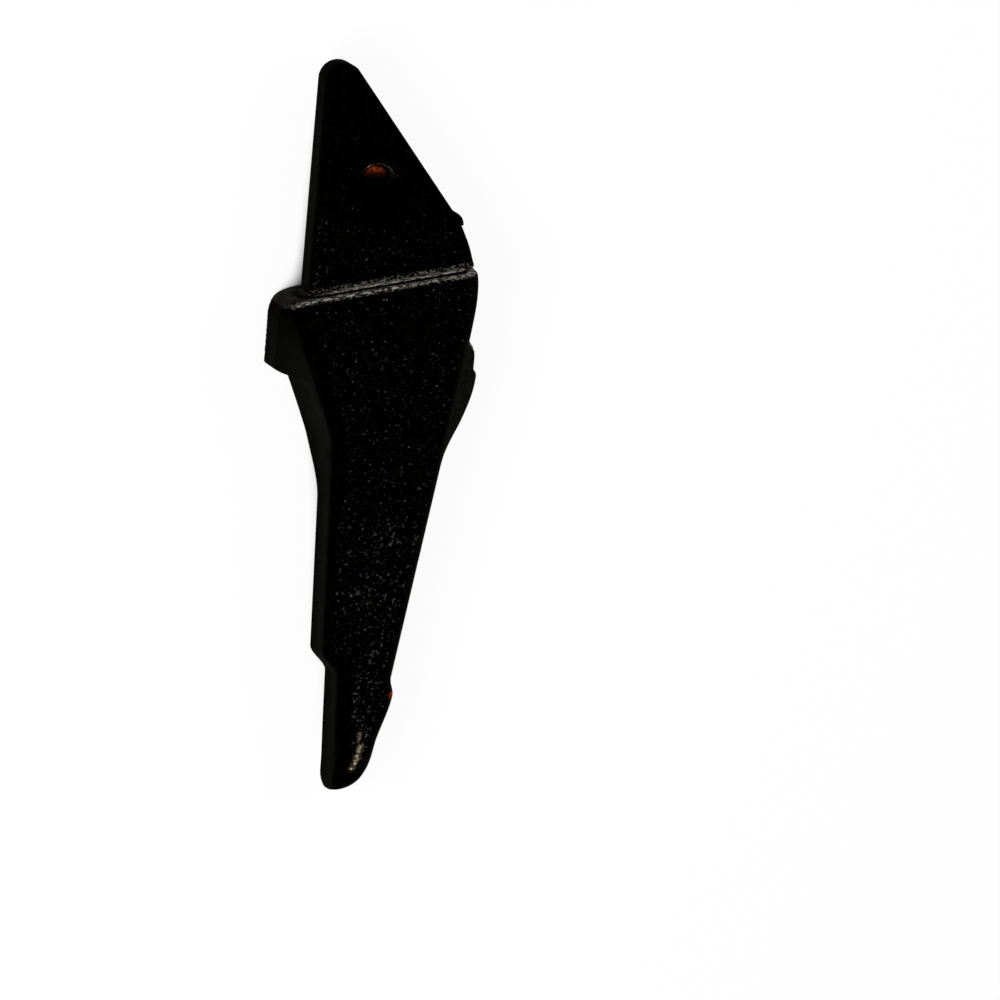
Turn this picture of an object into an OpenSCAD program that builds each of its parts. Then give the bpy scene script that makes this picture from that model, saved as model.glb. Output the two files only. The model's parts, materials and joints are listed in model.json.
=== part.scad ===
// Excavator bucket tooth: a slip-on point, held on a lugged adapter by a quarter-turn cross pin.
// Frame: +X runs across the tooth, +Y towards the tip of the lug, +Z out of the front face.
// The origin is the centre of the lug's bore, on the tooth's mid-plane.

/* [Lug] */
// Thickness of the lug plate
lug_thickness = 12; // [10:0.5:14]
// Diameter of the lug's bore
lug_bore_d = 16.5; // [14:0.5:18]
// Distance from the bore's centre to the top of the lug
lug_reach = 50; // [46:0.2:60]
// Distance from the bore's centre to the lug's straight left edge
lug_left = 26.3; // [24:0.1:27]
// Radius of the lug's rounded top
lug_top_r = 7; // [5:0.1:8]
// Lean of the lug's slanted right edge
lug_lean = 38.5; // [37:0.5:41]
// Radius of the convex shoulder below the slanted edge
shoulder_r = 44; // [41:0.5:48]
// Reach of that shoulder to the right of the bore's centre
shoulder_right = 35.8; // [34:0.2:37]
// Radius of the fillet where the lug's left edge meets the ledge
lug_fillet_r = 3; // [1:0.5:4]
// Radius of the worn pocket at the mouth of the bore
wear_r = 6.2; // [5:0.2:7]
// Depth of the worn pocket
wear_depth = 3.5; // [1:0.5:4]
// Distance between the bore's centre and the worn pocket's centre
wear_shift = 8.6; // [7:0.2:9]

/* [Ledge] */
// Distance from the bore's centre down to the ledge, on the tooth's length
ledge_drop = 29.5; // [27:0.5:33]
// Rise of the ledge to the right
ledge_angle = 12; // [8:0.5:14]
// Gap between the lug's foot and the rim of the point
seat_gap = 0.2; // [0.1:0.05:0.4]

/* [Nose] */
// Rise of the nose's shoulder above the rim of the point
shoulder_rise = 0.8; // [0.4:0.1:1.2]
// Half thickness of the nose at the ledge
nose_half = 12; // [11:0.5:13]
// Half thickness of the nose at its end
nose_end_half = 8.5; // [7.5:0.5:9]
// Distance from the bore's centre down to the end of the nose
nose_reach = 88; // [84:0.5:92]
// Reach of the nose's end to the left and to the right
nose_end_left = 10.5; // [9:0.5:12]
nose_end_right = 21.5; // [20:0.5:23]
// Reach of the nose to the left and to the right at the ledge
nose_left = 25.6; // [24:0.2:28]
nose_right = 30.4; // [27:0.2:31]
// Clearance around the nose in the socket
socket_gap = 0.35; // [0.2:0.05:0.6]

/* [Point] */
// Distance from the bore's centre down to the tip of the point
tip_reach = 217.5; // [200:0.5:240]
// Half thickness of the socket block
block_half = 17; // [16.5:0.5:20]
// Reach of the socket block to the right
block_right = 35.8; // [35:0.2:37]
// Reach of the left flank at the ledge
flare_left = 36; // [35:0.2:38]
// Sweep of the left flank towards the blade, for each millimetre of length
flare_slope = 0.43; // [0.40:0.01:0.45]
// Distance from the bore's centre down to the end of the thick socket block
block_reach = 82; // [80:0.5:90]
// Length over which the back of the block runs out into the blade
runout = 28; // [20:1:40]
// Thickness of the blade
blade_thickness = 15.5; // [11:0.5:18]
// Fall of the front face from the ledge to the tip
front_fall = 10; // [6:0.5:12]
// Reach of the blade to the left and to the right, at its root
blade_left = 14.1; // [13:0.2:17]
blade_right = 27; // [25:0.2:30]
// Depth of the step in the blade's left edge
step_depth = 6; // [3:0.5:8]
// Distance from the bore's centre down to that step
step_reach = 165; // [150:1:175]
// Length of the rounded end of the blade
tip_round = 14; // [10:1:30]
// Height of the burr that wear has rolled over the right edge
burr_height = 2.2; // [0:0.2:3]

/* [Ear and boss] */
// Reach of the ear to the left
ear_left = 37.2; // [35.5:0.1:38]
// Reach of the pin boss to the right
boss_right = 38.6; // [37.5:0.1:40]
// Half thickness of the flat of the ear and of the boss
ear_half = 7.5; // [6.5:0.5:9]

/* [Pin] */
// Diameter of the pin's shank
pin_d = 11; // [9:0.5:12]
// Diameter of the pin's head
head_d = 13.6; // [12.5:0.2:14]
// Diameter over the bayonet lugs
lugs_d = 18; // [17:0.2:18.4]
// Distance from the bore's centre down to the pin
pin_drop = 56.5; // [55:0.5:58]
// Radial clearance of the pin in its bores
pin_gap = 0.05; // [0.02:0.01:0.1]
// Width across the flats of the hexagon socket
hex_width = 7; // [5:0.5:8]
// Thickness of the polyurethane cushion
cushion_t = 2.6; // [1.5:0.1:3]
// Thickness of the thrust washer
washer_t = 1.2; // [0.8:0.1:1.6]
// Thickness of the cord of each seal ring
seal_t = 1.6; // [1.2:0.1:1.8]

/* [Hidden] */

paint_black = [0.05, 0.05, 0.05];
steel_grey = [0.55, 0.55, 0.56];
rubber_black = [0.10, 0.10, 0.11];
cushion_amber = [0.75, 0.50, 0.20];

round_fn = 96;
cut = 1;                                    // how far a cutting solid runs past a face
far = 400;                                  // larger than the tooth

ledge_slope = tan(ledge_angle);
lug_half = lug_thickness / 2;
lug_top = [lug_top_r - lug_left, lug_reach - lug_top_r];
lean_normal = [cos(lug_lean), sin(lug_lean)];
shoulder_y = -ledge_drop - 1.5;             // height of the shoulder arc's centre
nub_y = -6;                               // height of the nub below the slanted edge
wear_lean = 28;                             // the pocket lies this far to the left of +Y

nose_top = 3;                               // how far the nose's root runs up into the lug
nose_chamfer = 3;
nose_start = 8;                             // the nose is drawn from this far below the bore down

flank_blend = 1.2;                            // width of the blend between two flank lines
blade_root = 100;                           // depth at which the blade's two reaches are given
left_taper = 0.052;                         // the blade's left edge runs in by this per millimetre
right_taper = 0.134;                       // and its right edge by this
step_length = 9;
ear_fade = 4;
ear_reach = 61;                             // the ear's flat runs down to here
ear_end = 5.5;                              // and fades out over this length
boss_start = 48;
boss_rise = 7.5;
boss_end = 60;
boss_fade = 36;
burr_reach = 174;
burr_rise = 7;
burr_fall = 19;
tip_x = -1.8;                                // x of the tip's lowest point
tip_corner = 1.4;                           // length of the round at the left of the tip
tip_length = 14;                            // the rings crowd together over this length
nose_round = 6;                             // length of the bull nose in the thickness
front_round = 4.6;                          // radius of the two long front edges
tip_front_round = 7;                        // and at the tip
back_round = 1.6;                           // radius of the two long back edges
rim_back_round = 10;                        // and at the rim
rim_blend = 30;
tip_fade = 30;
rim_round = 1.5;                            // radius of the rim's outer edge
rim_left_round = 6.5;                     // and at its left end
rim_right_in = 2;                           // the right flank draws in by this at the rim
rim_right_length = 14;                      // over this length
draft = 0.1;                                // the flanks lean out by this per millimetre of depth
slant_length = 45;
side_steps = 9;
front_steps = 5;
back_steps = 3;
face_steps = 4;
rim_rows = 4;
tip_rows = 8;
tip_end = 0.5;                             // the last ring stops this far short of the tip
loft_pitch = 4;

pin_r = pin_d / 2;
head_r = head_d / 2;
lug_pin_r = lugs_d / 2;
blind_x = -32;                              // floor of the blind bore in the ear
running_gap = 0.05;
pin_left = blind_x + cushion_t + washer_t;
head_x = 28.5;                              // where the shank meets the head
lugs_x = 29.8;
lugs_t = 3.2;
head_end = 34.6;
groove_gap = 0.15;
groove_r = lug_pin_r + 0.1;
lug_spread = 30;                            // half angle of each bayonet lug
slot_spread = 32;                           // half angle of each entry slot
quarter = 90;
hex_depth = 6;
hex_r = hex_width / sqrt(3);
plug_gap = 0.15;
plug_face = 38.2;
seal_r = pin_r - seal_t / 2;                  // mean radius of a seal ring, flush with the shank
seal_groove_w = seal_t + 0.5;
seal_groove_r = seal_r - seal_t / 2 - 0.02;
seal_inset = 4;

// Smooth step from 0 to 1
function smooth(t) = let (u = min(1, max(0, t))) u * u * (3 - 2 * u);
function mix(a, b, t) = a + (b - a) * t;
// The larger and the smaller of two lines, with a rounded corner of width k
function soft_max(a, b, k) = (a + b + sqrt(pow(a - b, 2) + k * k)) / 2;
function soft_min(a, b, k) = (a + b - sqrt(pow(a - b, 2) + k * k)) / 2;
// A quarter round: 1 on the flat, falling to 0 at the end of its length
function quarter_round(to_end, length) = let (u = 1 - to_end / length)
    u <= 0 ? 1 : sqrt(max(0, 1 - u * u));
// Height of the ledge above each x
function ledge_y(x) = -ledge_drop + ledge_slope * x;

// Outline of the point at the depth d, which is the distance below the bore's centre
flare_root = -ledge_y(-flare_left);
function left_line(d) = blade_left - left_taper * (d - blade_root)
    - step_depth * smooth((d - step_reach) / step_length);
function left_flank(d) =
    mix(-tip_x, soft_max(left_line(d), flare_left - flare_slope * (d - flare_root), flank_blend),
        quarter_round(tip_reach - d, tip_corner));
function burr(d) = burr_height * smooth((d - burr_reach) / burr_rise)
    * (1 - smooth((d - burr_reach - burr_rise) / burr_fall));
function right_line(d) = burr(d)
    + soft_min(block_right, blade_right - right_taper * (d - blade_root), flank_blend);
function right_flank(d) = mix(tip_x, right_line(d), quarter_round(tip_reach - d, tip_round));
function front(d) = block_half - front_fall * (d - ledge_drop) / (tip_reach - ledge_drop);
function back(d) = mix(-block_half, front(d) - blade_thickness, smooth((d - block_reach) / runout));

// Ear on the left and boss on the right, full near the mid-plane and fading out front and back
function near_middle(z) = 1 - smooth((abs(z) - ear_half) / ear_fade);
function ear_share(d) = 1 - smooth((d - ear_reach) / ear_end);
function boss_share(d) = smooth((d - boss_start) / boss_rise) * (1 - smooth((d - boss_end) / boss_fade));

// The rings of the loft follow the ledge at its top and turn square to the blade further down
function slant(ring) = ledge_slope * (1 - smooth((ring - ledge_drop) / slant_length));
function depth_at(ring, x) = ring - slant(ring) * x;
function left_depth(ring) = depth_at(ring, -left_flank(depth_at(ring, -left_flank(ring))));
function right_depth(ring) = depth_at(ring, right_flank(ring));

// One rounded corner of a ring, and the points between two corners
function corner(x, z, r, from, steps) =
    [for (i = [0 : steps]) let (a = from + 90 * i / steps) [x + r * cos(a), z + r * sin(a)]];
function between(p, q, steps) = [for (i = [1 : steps - 1]) mix(p, q, i / steps)];

// A rounded rectangle of corner points, anticlockwise from the foot of its right side
function outline(l, r, f, b, rf, rb) = concat(
    between([r, b + rb], [r, f - rf], side_steps),
    corner(r - rf, f - rf, rf, 0, front_steps),
    between([r - rf, f], [rf - l, f], face_steps),
    corner(rf - l, f - rf, rf, 90, front_steps),
    between([-l, f - rf], [-l, b + rb], side_steps),
    corner(rb - l, b + rb, rb, 180, back_steps),
    between([rb - l, b], [r - rb, b], face_steps),
    corner(r - rb, b + rb, rb, 270, back_steps));

// One ring of the point. Its sides lean out to the back, and the ear and the boss stand out of them
function section(ring) =
    let (dl = left_depth(ring), dr = right_depth(ring), edge = ring - ledge_drop,
         rim_in = rim_round * (1 - quarter_round(edge, rim_round)),
         left_in = rim_left_round * (1 - quarter_round(edge, rim_left_round)),
         right_in = rim_right_in * (1 - quarter_round(edge, rim_right_length)),
         thin = quarter_round(tip_reach - ring, nose_round),
         l = left_flank(dl), r = right_flank(dr) - right_in,
         mid_x = (r - l) / 2, half_w = (l + r) / 2,
         mid_z = (front(ring) + back(ring)) / 2,
         half_t = thin * (front(ring) - back(ring)) / 2 - rim_in,
         room = 0.8 * min(half_t, half_w),
         rf = min(mix(front_round, tip_front_round, smooth((ring - tip_reach) / tip_fade + 1)), room),
         rb = min(mix(rim_back_round, back_round, smooth(edge / rim_blend)), room))
    [for (p = outline(l, r, mid_z + half_t, mid_z - half_t, rf, rb))
        let (side = (p.x - mid_x) / half_w,
             leant = p.x + side * draft * (mid_z + half_t - rf - p.y),
             flat = max(leant, -ear_left),
             swell = near_middle(p.y) * (side < 0 ? -ear_share(dl) * (ear_left + flat)
                                                  : boss_share(dr) * max(0, boss_right - flat)),
             x = flat + swell - left_in * min(0, side))
        [x, -depth_at(ring, x), p.y]];

// Positions of the rings, closer together at the rounded rim and at the rounded tip
plain_top = ledge_drop + rim_left_round;
plain_end = tip_reach - tip_length;
plain_rows = ceil((plain_end - plain_top) / loft_pitch);
rings = concat(
    [for (i = [0 : rim_rows - 1]) ledge_drop + rim_left_round * (1 - cos(90 * i / rim_rows))],
    [for (i = [0 : plain_rows - 1]) mix(plain_top, plain_end, i / plain_rows)],
    [for (i = [0 : tip_rows]) plain_end + (tip_length - tip_end) * sin(90 * i / tip_rows)]);

tip_point = let (ring = tip_reach - tip_end)
    [(right_flank(ring) - left_flank(ring)) / 2, -tip_reach, (front(ring) + back(ring)) / 2];

// A skin over the rows of points, with a flat top and a last point that closes its end
module loft(rows, end) {
    n = len(rows[0]);
    last = len(rows) - 1;
    polyhedron(
        points = [for (row = rows) each row, end],
        faces = concat(
            [[for (i = [0 : n - 1]) i]],
            [for (k = [0 : last - 1], i = [0 : n - 1])
                [k * n + i, (k + 1) * n + i, (k + 1) * n + (i + 1) % n]],
            [for (k = [0 : last - 1], i = [0 : n - 1])
                [k * n + i, (k + 1) * n + (i + 1) % n, k * n + (i + 1) % n]],
            [for (i = [0 : n - 1]) [last * n + i, len(rows) * n, last * n + (i + 1) % n]]));
}

// Everything above the ledge, raised by a gap
module above_ledge(gap) {
    translate([0, -ledge_drop, 0]) rotate([0, 0, ledge_angle])
        translate([-far / 2, gap, -far / 2]) cube([far, far, far]);
}

// Puts a shape that is drawn along Z on the pin's axis, where its Z runs along +X
module on_pin_axis(x) {
    translate([x, -pin_drop, 0]) rotate([0, 90, 0]) children();
}

// A slice of a disc between two angles
module slice(r, from, to) {
    intersection() {
        circle(r = r, $fn = round_fn);
        polygon(concat([[0, 0]], [for (i = [0 : 4]) let (a = mix(from, to, i / 4))
            2 * r * [cos(a), sin(a)]]));
    }
}

// Plan of the lug: the triangle under its round top, and the convex shoulder
module lug_plan() {
    difference() {
        union() {
            translate(lug_top) circle(r = lug_top_r, $fn = round_fn);
            polygon([[-lug_left, lug_top.y], [lug_top.x, lug_top.y],
                     lug_top + lug_top_r * lean_normal,
                     [lean_x(nub_y), nub_y], [-lug_left, nub_y]]);
            intersection() {
                translate([shoulder_right - shoulder_r, shoulder_y])
                    circle(r = shoulder_r, $fn = 2 * round_fn);
                translate([-lug_left, -far / 2]) square([far, far / 2 + nub_y]);
            }
            translate([-lug_left - lug_fillet_r, ledge_y(-lug_left) - lug_fillet_r])
                square([lug_fillet_r + cut, 2 * lug_fillet_r]);
        }
        translate([-lug_left - lug_fillet_r, ledge_y(-lug_left) + lug_fillet_r])
            circle(r = lug_fillet_r, $fn = round_fn);
        translate([-lug_left - 2 * lug_fillet_r, ledge_y(-lug_left) + lug_fillet_r])
            square([2 * lug_fillet_r, 2 * lug_fillet_r]);
    }
}
// The slanted edge's x at each height
function lean_x(y) = ((lug_top * lean_normal) + lug_top_r - y * lean_normal.y) / lean_normal.x;

// The nose's body, or with a gap its socket, running up past the ledge
module nose_body(gap) {
    top = -nose_start;
    end = -nose_reach;
    left_run = (nose_left - nose_end_left) / (nose_reach + ledge_y(-nose_left));
    right_run = (nose_right - nose_end_right) / (nose_reach + ledge_y(nose_right));
    half_run = (nose_half - nose_end_half) / (nose_reach - ledge_drop);
    rise = nose_reach - nose_start;
    intersection() {
        translate([0, 0, -far / 2]) linear_extrude(far)
            polygon([[-nose_end_left - left_run * rise - gap, top],
                     [-nose_end_left - left_run * nose_chamfer - gap, end + nose_chamfer],
                     [-nose_end_left - gap + nose_chamfer, end],
                     [nose_end_right + gap - nose_chamfer, end],
                     [nose_end_right + right_run * nose_chamfer + gap, end + nose_chamfer],
                     [nose_end_right + right_run * rise + gap, top]]);
        rotate([90, 0, 90]) translate([0, 0, -far / 2]) linear_extrude(far)
            polygon([[top, nose_end_half + half_run * rise + gap],
                     [end + nose_chamfer, nose_end_half + half_run * nose_chamfer + gap],
                     [end, nose_end_half + gap - nose_chamfer],
                     [end, -nose_end_half - gap + nose_chamfer],
                     [end + nose_chamfer, -nose_end_half - half_run * nose_chamfer - gap],
                     [top, -nose_end_half - half_run * rise - gap]]);
    }
}

module adapter() {
    color(paint_black) difference() {
        union() {
            translate([0, 0, -lug_half]) linear_extrude(lug_thickness) difference() {
                lug_plan();
                translate([0, -ledge_drop]) rotate(ledge_angle)
                    translate([-far / 2, -far + seat_gap]) square(far);
            }
            difference() {
                nose_body(0);
                above_ledge(shoulder_rise);
            }
            translate([0, 0, -lug_half]) linear_extrude(lug_thickness) intersection() {
                translate([0, -ledge_drop]) rotate(ledge_angle)
                    translate([-lug_left * 0.9, -2 * nose_top])
                        square([lug_left * 0.9 + nose_right * 0.9, 3 * nose_top]);
                lug_plan();
            }
        }
        translate([0, 0, -lug_half - cut])
            cylinder(d = lug_bore_d, h = lug_thickness + 2 * cut, $fn = round_fn);
        translate([-wear_shift * sin(wear_lean), wear_shift * cos(wear_lean), lug_half - wear_depth])
            cylinder(r = wear_r, h = wear_depth + cut, $fn = round_fn);
        on_pin_axis(-nose_left - cut)
            cylinder(r = pin_r + pin_gap, h = nose_left + nose_right + 2 * cut, $fn = round_fn);
    }
}

module tooth_point() {
    color(paint_black) difference() {
        loft([for (ring = rings) section(ring)], tip_point);
        nose_body(socket_gap);
        on_pin_axis(blind_x) cylinder(r = pin_r + pin_gap, h = far, $fn = round_fn);
        on_pin_axis(head_x - running_gap) cylinder(r = head_r + pin_gap, h = far, $fn = round_fn);
        on_pin_axis(lugs_x - groove_gap) linear_extrude(lugs_t + 2 * groove_gap)
            for (side = [0, 180])
                rotate(side) slice(groove_r, quarter - slot_spread, 2 * quarter + slot_spread);
        on_pin_axis(lugs_x) linear_extrude(far)
            for (side = [0, 180]) rotate(side) slice(groove_r, -slot_spread, slot_spread);
    }
}

module lock_pin() {
    color(steel_grey) difference() {
        union() {
            on_pin_axis(pin_left) cylinder(r = pin_r, h = head_x + cut - pin_left, $fn = round_fn);
            on_pin_axis(head_x) cylinder(r = head_r, h = head_end - head_x, $fn = round_fn);
            on_pin_axis(lugs_x) linear_extrude(lugs_t) for (side = [0, 180])
                rotate(side) slice(lug_pin_r, quarter - lug_spread, quarter + lug_spread);
        }
        on_pin_axis(head_end - hex_depth) cylinder(r = hex_r, h = hex_depth + cut, $fn = 6);
        for (x = [left_seal_x, right_seal_x]) on_pin_axis(x - seal_groove_w / 2) difference() {
            cylinder(r = pin_r + cut, h = seal_groove_w, $fn = round_fn);
            translate([0, 0, -cut])
                cylinder(r = seal_groove_r, h = seal_groove_w + 2 * cut, $fn = round_fn);
        }
    }
}

// The seal rings lie just inside the two ends of the bore through the nose
nose_share = (nose_reach - pin_drop) / (nose_reach - ledge_drop);
left_seal_x = -mix(nose_end_left, nose_left, nose_share) + seal_inset;
right_seal_x = mix(nose_end_right, nose_right, nose_share) - seal_inset;

module seal_ring(x) {
    color(rubber_black) on_pin_axis(x) rotate_extrude($fn = round_fn)
        translate([seal_r, 0]) circle(d = seal_t, $fn = 32);
}
module left_seal_ring() { seal_ring(left_seal_x); }
module right_seal_ring() { seal_ring(right_seal_x); }

module pin_cushion() {
    color(cushion_amber) on_pin_axis(blind_x)
        cylinder(r = pin_r - running_gap, h = cushion_t, $fn = round_fn);
}

module thrust_washer() {
    color(steel_grey) on_pin_axis(blind_x + cushion_t)
        cylinder(r = pin_r - running_gap, h = washer_t, $fn = round_fn);
}

module socket_plug() {
    ears_x = lugs_x + lugs_t + 2 * groove_gap;
    color(rubber_black) union() {
        on_pin_axis(head_end)
            cylinder(r = head_r - plug_gap, h = plug_face - head_end, $fn = round_fn);
        on_pin_axis(head_end - hex_depth + cut)
            cylinder(d = hex_width - 2 * plug_gap, h = hex_depth, $fn = round_fn);
        on_pin_axis(ears_x) linear_extrude(plug_face - cut - ears_x) difference() {
            for (side = [0, 180])
                rotate(side) slice(groove_r - plug_gap, -lug_spread, lug_spread);
            circle(r = head_r + plug_gap, $fn = round_fn);
        }
        on_pin_axis(head_end)
            linear_extrude(plug_face - cut - head_end)
                for (side = [0, 180])
                    rotate(side) slice(groove_r - plug_gap, -lug_spread, lug_spread);
    }
}

adapter();
tooth_point();
lock_pin();
thrust_washer();
pin_cushion();
left_seal_ring();
right_seal_ring();
socket_plug();
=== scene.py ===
# %% [markdown]
# # An excavator bucket tooth
# The tooth is a cast-steel point that slips over the nose of an adapter. A quarter-turn cross pin
# holds the two together, and a lug with one bore fastens the adapter to the bucket.
# This lesson dresses the model: it makes each visible casting again as a smooth surface, gives every
# piece a finish, and sets up a plain studio. All sizes are millimetres until a mesh is made.

import json
import math

import bmesh
import bpy
import numpy as np
from mathutils import Matrix, Vector

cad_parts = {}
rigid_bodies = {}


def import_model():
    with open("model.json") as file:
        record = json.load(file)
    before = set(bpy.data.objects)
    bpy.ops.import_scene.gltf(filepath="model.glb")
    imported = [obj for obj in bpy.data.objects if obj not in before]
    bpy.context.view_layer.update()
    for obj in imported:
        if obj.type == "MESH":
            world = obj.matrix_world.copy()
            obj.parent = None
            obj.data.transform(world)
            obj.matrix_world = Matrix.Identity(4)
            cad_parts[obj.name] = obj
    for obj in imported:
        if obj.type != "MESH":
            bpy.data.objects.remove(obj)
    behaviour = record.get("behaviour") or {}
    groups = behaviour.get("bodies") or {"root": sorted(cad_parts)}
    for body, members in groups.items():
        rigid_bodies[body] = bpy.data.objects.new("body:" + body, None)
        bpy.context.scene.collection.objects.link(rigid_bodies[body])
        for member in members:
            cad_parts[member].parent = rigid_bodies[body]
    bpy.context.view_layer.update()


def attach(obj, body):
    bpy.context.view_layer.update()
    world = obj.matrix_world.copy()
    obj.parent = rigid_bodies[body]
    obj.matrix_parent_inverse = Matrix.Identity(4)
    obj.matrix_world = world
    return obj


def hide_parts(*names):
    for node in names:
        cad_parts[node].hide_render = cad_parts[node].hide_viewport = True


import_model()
MM = 0.001

# %% [markdown]
# ## The camera
# The tooth lies flat on its back, and the eye is far above it, so parallel edges stay parallel.
# A very long lens from several metres away does this. Its direction is given by two small tilts,
# one towards the tooth's left and one towards its lug, and the tooth leans a little in the frame.

# %% Place the camera
IMAGE_SIDE = 1000               # pixels
SCALE = 0.36                    # millimetres of the object per pixel
BORE_PIXEL = (386.5, 203.0)     # where the centre of the lug's bore lies
TILT_LEFT = math.radians(17)
TILT_UP = math.radians(10)
LEAN = math.radians(5)
LUG_FRONT = 5.5                 # height of the bore's visible mouth
DISTANCE = 4000.0               # from the eye to the middle of the picture
SENSOR = 36.0                   # width of the film

sin_left, cos_left = math.sin(TILT_LEFT), math.cos(TILT_LEFT)
sin_up, cos_up = math.sin(TILT_UP), math.cos(TILT_UP)
to_eye = np.array([-sin_left * cos_up, sin_up, cos_left * cos_up])
flat_right = np.array([cos_left, 0.0, sin_left])
flat_up = np.array([sin_left * sin_up, cos_up, -cos_left * sin_up])
right = math.cos(LEAN) * flat_right + math.sin(LEAN) * flat_up
up = -math.sin(LEAN) * flat_right + math.cos(LEAN) * flat_up

across = (IMAGE_SIDE / 2 - BORE_PIXEL[0]) * SCALE
down = (IMAGE_SIDE / 2 - BORE_PIXEL[1]) * SCALE
target = np.array([0.0, 0.0, LUG_FRONT]) + across * right - down * up

camera = bpy.data.objects.new("camera", bpy.data.cameras.new("camera"))
bpy.context.scene.collection.objects.link(camera)
camera.data.sensor_width = SENSOR
camera.data.lens = SENSOR * DISTANCE / (IMAGE_SIDE * SCALE)
camera.data.clip_start = 0.1
camera.data.clip_end = 100.0
camera.rotation_mode = "QUATERNION"
turn = Matrix((right, up, to_eye)).transposed()
camera.rotation_quaternion = turn.to_quaternion()
camera.location = Vector((target + DISTANCE * to_eye) * MM)
bpy.context.scene.camera = camera
print(f"lens {camera.data.lens:.0f} mm, camera at", [round(c, 2) for c in camera.location])

# %% [markdown]
# ## Small helpers
# A surface is an array of rows of points. `skin` turns it into a mesh: it joins each row to the next
# and closes each row on itself. An end is closed with a fan of triangles round one point, or the last
# row is joined to the first, as on a ring.

# %% Surface helpers
def smooth(t):
    """Smooth step: 3t^2 - 2t^3 between 0 and 1, and flat outside."""
    t = np.clip(t, 0.0, 1.0)
    return t * t * (3 - 2 * t)


def mix(a, b, t):
    """Straight blend from a to b."""
    return a + (b - a) * t


def soft_max(a, b, width):
    """The larger of two lines, with a rounded corner: a hyperbola through their crossing."""
    return (a + b + np.sqrt((a - b) ** 2 + width * width)) / 2


def soft_min(a, b, width):
    """The smaller of two lines, with a rounded corner."""
    return (a + b - np.sqrt((a - b) ** 2 + width * width)) / 2


def quarter_round(to_end, length):
    """A quarter circle: 1 on the flat, sqrt(1 - u^2) over the last stretch, 0 at the end."""
    u = np.clip(1 - np.asarray(to_end, float) / length, 0.0, 1.0)
    return np.sqrt(1 - u * u)


def skin(name, rows, start=None, end=None, ring=False):
    """A mesh over rows of closed loops of points, in millimetres. An end is closed by a fan round a
    point, or by one flat face, or left open. A ring joins its last row to its first."""
    count, around = rows.shape[:2]
    here = np.arange(count * around).reshape(count, around)
    a = here if ring else here[:-1]
    b = np.roll(here, -1, axis=0) if ring else here[1:]
    quads = np.stack([a, b, np.roll(b, -1, axis=1), np.roll(a, -1, axis=1)], axis=-1).reshape(-1, 4)
    faces, points = quads.tolist(), [rows.reshape(-1, 3)]
    for pole, row in ((start, here[0]), (end, here[-1])):
        if isinstance(pole, str):
            faces.append(row.tolist())
        elif pole is not None:
            tip = sum(len(block) for block in points)
            points.append(np.array([pole], float))
            fan = np.stack([row, np.roll(row, -1), np.full(around, tip)], axis=-1)
            faces += fan.tolist()
    mesh = bpy.data.meshes.new(name)
    mesh.from_pydata((np.vstack(points) * MM).tolist(), [], faces)
    thing = bpy.data.objects.new(name, mesh)
    bpy.context.scene.collection.objects.link(thing)
    return thing


def outward(thing):
    """Turns every face of a closed shell outwards and shades it smooth, but for true edges."""
    net = bmesh.new()
    net.from_mesh(thing.data)
    bmesh.ops.recalc_face_normals(net, faces=net.faces)
    net.to_mesh(thing.data)
    net.free()
    thing.data.polygons.foreach_set("use_smooth", [True] * len(thing.data.polygons))
    thing.data.set_sharp_from_angle(angle=math.radians(40))


def carve(thing, *tools):
    """Cuts closed tools out of a closed piece, keeps the result as its mesh, and drops the tools."""
    for tool in tools:
        cutting = thing.modifiers.new(tool.name, "BOOLEAN")
        cutting.operation = "DIFFERENCE"
        cutting.solver = "EXACT"
        cutting.object = tool
    depsgraph = bpy.context.evaluated_depsgraph_get()
    carved = bpy.data.meshes.new_from_object(thing.evaluated_get(depsgraph))
    thing.modifiers.clear()
    thing.data = carved
    for tool in tools:
        bpy.data.objects.remove(tool)


def cylinder(name, radius, low_x, high_x, y, z=0.0, sides=96):
    """A closed cylinder along X: two rows of a circle, each closed by a fan."""
    angle = np.linspace(0, 2 * np.pi, sides, endpoint=False)
    circle = np.stack([0 * angle, y + radius * np.cos(angle), z + radius * np.sin(angle)], axis=-1)
    rows = np.stack([circle + [low_x, 0, 0], circle + [high_x, 0, 0]])
    piece = skin(name, rows, start=(low_x, y, z), end=(high_x, y, z))
    outward(piece)
    return piece


print("helpers ready")

# %% [markdown]
# ## The outline of the point
# Seen from the front, the point is a long asymmetric knife. Its left flank sweeps in from the ledge
# to the blade and has a step near the tip; its right flank is one line that tapers to the tip, with
# a burr that wear has rolled over the edge. Each flank is a function of the depth, which is the
# distance below the bore's centre, and so are the front and back faces.

# %% Flanks and faces as functions of depth
LEDGE = 29.5                    # depth of the ledge on the centre line
LEDGE_SLOPE = math.tan(math.radians(12))
TIP = 217.5                     # depth of the tip
TIP_X = -1.8                    # x of the tip's lowest point
TIP_LEFT_ROUND, TIP_RIGHT_ROUND = 1.4, 14.0
RIM_LEFT, FLARE = 36.0, 0.43    # reach of the left flank at the ledge, and its slope below it
BLOCK_RIGHT = 35.8              # reach of the block to the right
BLOCK_HALF = 17.0               # half thickness of the socket block
BLOCK_END = 82.0                # depth at which the thick block ends
RUNOUT = 28.0                   # length of its run-out into the blade
FRONT_FALL = 10.0               # how far the front falls from the ledge to the tip
BLADE_THICK = 15.5
BLADE_ROOT = 100.0
BLADE_LEFT, LEFT_TAPER = 14.1, 0.052        # reach at the blade's root, and how fast it narrows
BLADE_RIGHT, RIGHT_TAPER = 27.0, 0.134
STEP, STEP_START, STEP_LENGTH = 6.0, 165.0, 9.0
BURR, BURR_START, BURR_RISE = 2.2, 174.0, 7.0
BURR_TOP, BURR_FALL = 181.0, 19.0
LINE_CORNER = 1.2               # width of the rounded corner where two lines cross
EAR_LEFT = 37.2                 # reach of the ear to the left
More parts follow.
